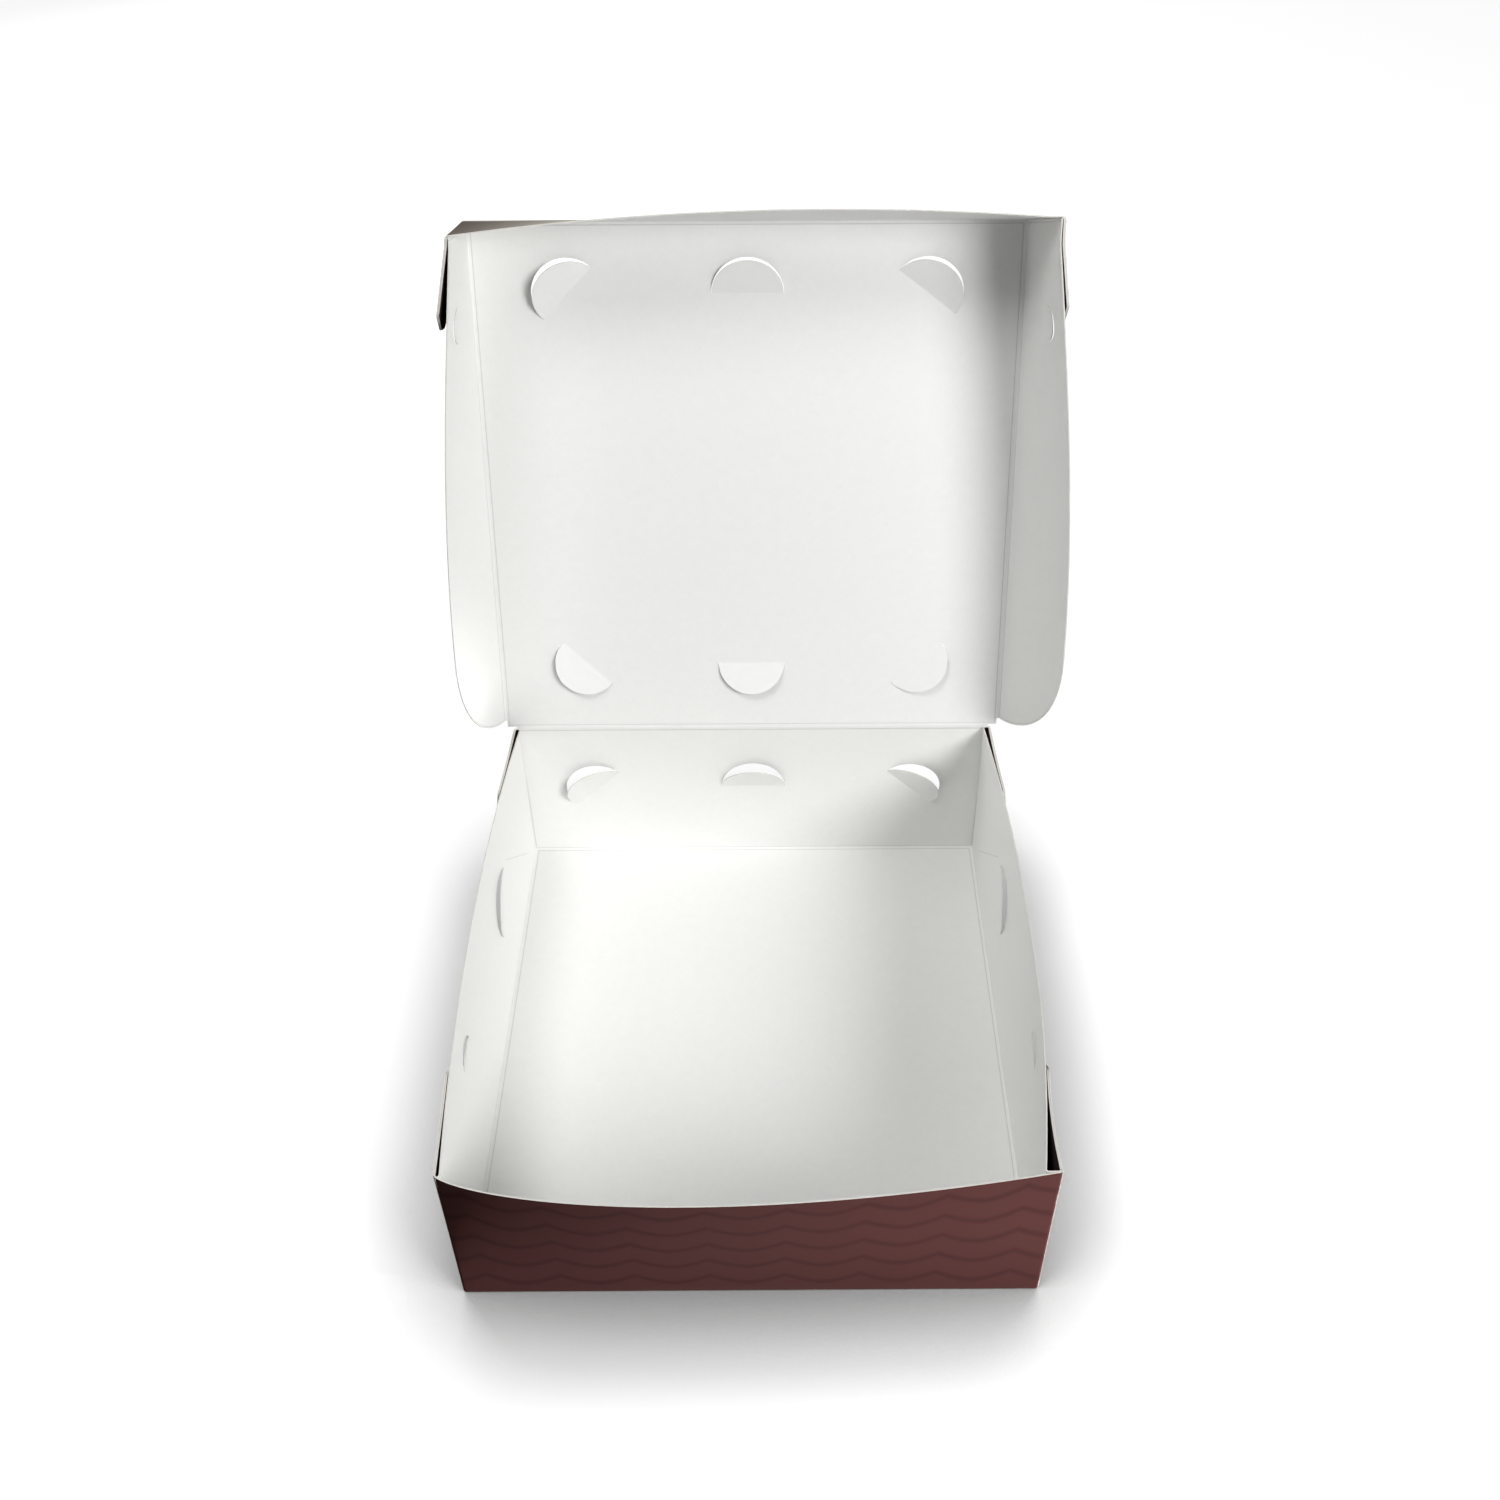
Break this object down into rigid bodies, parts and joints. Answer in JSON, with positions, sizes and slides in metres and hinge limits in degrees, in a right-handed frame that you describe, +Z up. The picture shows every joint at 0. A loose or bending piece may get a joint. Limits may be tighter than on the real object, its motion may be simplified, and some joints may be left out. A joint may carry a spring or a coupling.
{
  "type": "fried food box",
  "caption": "Folded paperboard takeaway box with a hinged lid, standing open; white inside, dark brown waves printed outside, half-moon steam vents pushed in.",
  "frame": {"origin": "centre of the underside of the tray's floor", "axes": "+Z up; +Y from the front wall to the hinge at the back; +X to the right seen from the front"},
  "size_m": [0.2361, 0.2665, 0.3079],
  "materials": {
    "tray_board": "white coated paperboard, bare and matt inside, printed dark brown with tonal waves outside",
    "lid_board": "white coated paperboard, bare and matt inside, printed dark brown with tonal waves outside"
  },
  "bodies": {
    "tray": {"tray": "tray_board"},
    "lid": {"lid": "lid_board"}
  },
  "joints": [
    {"name": "lid_hinge", "type": "hinge", "parent": "tray", "child": "lid", "pos_m": [0, 0.10178, 0.07552], "axis": [1, 0, 0], "range_deg": [-94, 103.5]}
  ]
}
